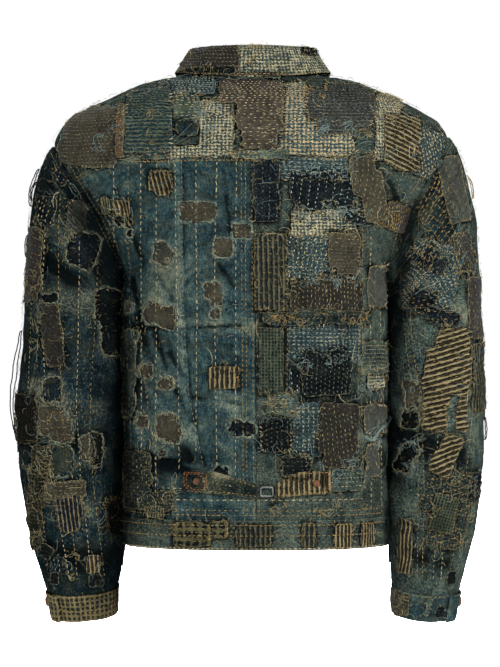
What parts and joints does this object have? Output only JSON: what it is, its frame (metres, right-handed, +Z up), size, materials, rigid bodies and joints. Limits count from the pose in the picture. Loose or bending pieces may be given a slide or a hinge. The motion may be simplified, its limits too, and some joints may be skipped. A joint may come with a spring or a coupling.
{
  "type": "patched boro jacket",
  "caption": "Short button-front work jacket of heavily patched denim in its hollow worn form, with turn-down collar, back yoke, waistband, back cinch and cuffed sleeves.",
  "frame": {"origin": "on the jacket's centre line between the shoulders, at the height of the back neck seam, where the wearer's shoulders hold it", "axes": "+Z up towards the collar, the front faces -Y and the back +Y, and the wearer's left sleeve is on the +X side"},
  "size_m": [0.6032, 0.2607, 0.7403],
  "materials": {
    "denim": "matte worn indigo denim, faded to green and grey, with running stitches",
    "boucle": "rough cream and indigo woven cloth",
    "brown_wool": "matte dark brown wool, worn thin",
    "charcoal_wool": "matte charcoal wool",
    "navy_cotton": "matte navy to black cotton with pale running stitches",
    "stripe_cotton": "matte cream and dark striped cotton",
    "green_plaid": "matte grey green plaid cotton",
    "copper": "dull aged copper",
    "steel": "dull worn steel"
  },
  "bodies": {
    "root": {"back_left": "denim", "back_right": "denim", "buckle": "steel", "button_1": "copper", "button_2": "copper", "button_3": "copper", "button_4": "copper", "button_5": "copper", "collar": "boucle", "cuff_button_left": "copper", "cuff_button_right": "copper", "cuff_left": "denim", "cuff_right": "denim", "front_left": "denim", "front_right": "denim", "patch_black": "navy_cotton", "patch_brown_blade": "brown_wool", "patch_brown_large": "brown_wool", "patch_brown_left": "brown_wool", "patch_brown_upper": "brown_wool", "patch_charcoal_low": "charcoal_wool", "patch_green_plaid": "green_plaid", "patch_kasuri_upper": "boucle", "patch_navy_low": "navy_cotton", "patch_navy_sashiko": "navy_cotton", "patch_navy_strip": "navy_cotton", "patch_sleeve_brown": "brown_wool", "patch_sleeve_stripe": "stripe_cotton", "patch_stripe_diagonal": "stripe_cotton", "patch_stripe_small": "stripe_cotton", "patch_stripe_upper": "stripe_cotton", "patch_yoke_brown_centre": "brown_wool", "patch_yoke_brown_left": "brown_wool", "patch_yoke_charcoal": "charcoal_wool", "patch_yoke_stripe": "stripe_cotton", "patch_yoke_teal": "denim", "patch_yoke_weave": "boucle", "placket": "denim", "rivet_left": "copper", "rivet_right": "copper", "sleeve_top_left": "denim", "sleeve_top_right": "denim", "sleeve_under_left": "denim", "sleeve_under_right": "denim", "strap_left": "denim", "strap_right": "stripe_cotton", "waistband_back": "denim", "waistband_left": "denim", "waistband_right": "denim", "yoke": "denim"}
  },
  "joints": []
}
